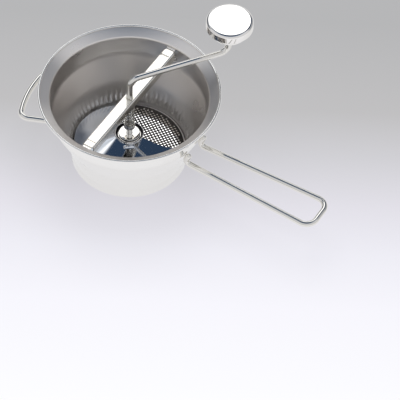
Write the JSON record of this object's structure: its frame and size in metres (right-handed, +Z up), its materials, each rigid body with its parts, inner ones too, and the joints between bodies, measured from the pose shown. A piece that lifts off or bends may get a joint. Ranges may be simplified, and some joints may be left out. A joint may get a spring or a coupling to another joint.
{
  "type": "food mill",
  "caption": "Hand-cranked steel food mill: flanged bowl with wire handle and support loop, perforated disc, sprung press blade on a removable crossbar, and bent crank with a turning knob.",
  "frame": {"origin": "centre of the outlet in the bowl's base, on the plane that the base collar stands on", "axes": "+Z up along the bowl's and the shaft's axis, +X along the long handle, +Y towards the latch end of the crossbar"},
  "size_m": [0.387, 0.2314, 0.179],
  "materials": {
    "bowl_steel": "satin-brushed stainless steel inside and on the flange, polished outside",
    "wire_steel": "polished stainless steel wire",
    "sieve_steel": "satin stainless steel, punched",
    "bar_steel": "polished stainless steel sheet",
    "spring_steel": "drawn spring steel wire",
    "bush_brass": "turned brass",
    "rod_steel": "polished stainless steel rod",
    "hub_steel": "polished stainless steel pressing",
    "blade_steel": "mirror-polished stainless steel sheet",
    "knob_steel": "polished stainless steel pressings",
    "bush_plastic": "moulded black nylon"
  },
  "bodies": {
    "bowl": {"bowl_shell": "bowl_steel", "long_handle": "wire_steel", "support_loop": "wire_steel"},
    "sieve": {"sieve_plate": "sieve_steel", "sieve_ring": "sieve_steel", "sieve_bush": "sieve_steel"},
    "crossbar": {"crossbar_channel": "bar_steel", "hook_plate": "bar_steel", "bar_rivets": "bar_steel", "shaft_bush": "bush_brass", "pressure_spring": "spring_steel", "latch_spring": "spring_steel"},
    "latch": {"latch_plate": "bar_steel"},
    "spring_seat": {"thrust_washer": "bush_brass"},
    "rotor": {"crank_rod": "rod_steel", "spring_cup": "rod_steel", "drive_pins": "rod_steel", "hub_sleeve": "rod_steel", "hub_dome": "hub_steel", "hub_collar": "hub_steel", "press_blade": "blade_steel", "knob_clip": "spring_steel"},
    "knob": {"knob_cap": "knob_steel", "knob_base": "knob_steel", "knob_bush": "bush_plastic"}
  },
  "joints": [
    {"name": "crossbar_lift", "type": "slide", "parent": "bowl", "child": "crossbar", "axis": [0, 0, 1], "range_m": [0, 0.125]},
    {"name": "sieve_lift", "type": "slide", "parent": "bowl", "child": "sieve", "axis": [0, 0, 1], "range_m": [0, 0.1125]},
    {"name": "latch_slide", "type": "slide", "parent": "crossbar", "child": "latch", "axis": [0, -1, 0], "range_m": [0, 0.003], "stiffness_N_per_m": 300, "springref_m": -0.004, "deforming": ["latch_spring"]},
    {"name": "crank_lift", "type": "slide", "parent": "crossbar", "child": "spring_seat", "axis": [0, 0, 1], "range_m": [0, 0.006], "stiffness_N_per_m": 800, "springref_m": -0.01, "deforming": ["pressure_spring"]},
    {"name": "crank_spin", "type": "hinge", "parent": "spring_seat", "child": "rotor", "pos_m": [0, 0, 0.054], "axis": [0, 0, 1], "continuous": true},
    {"name": "knob_spin", "type": "hinge", "parent": "rotor", "child": "knob", "pos_m": [0.07067, 0.09945, 0.16], "axis": [0, 0, 1], "continuous": true}
  ],
  "couplings": [
    {"joint": "sieve_lift", "follows": "crossbar_lift", "ratio": 0.9}
  ]
}
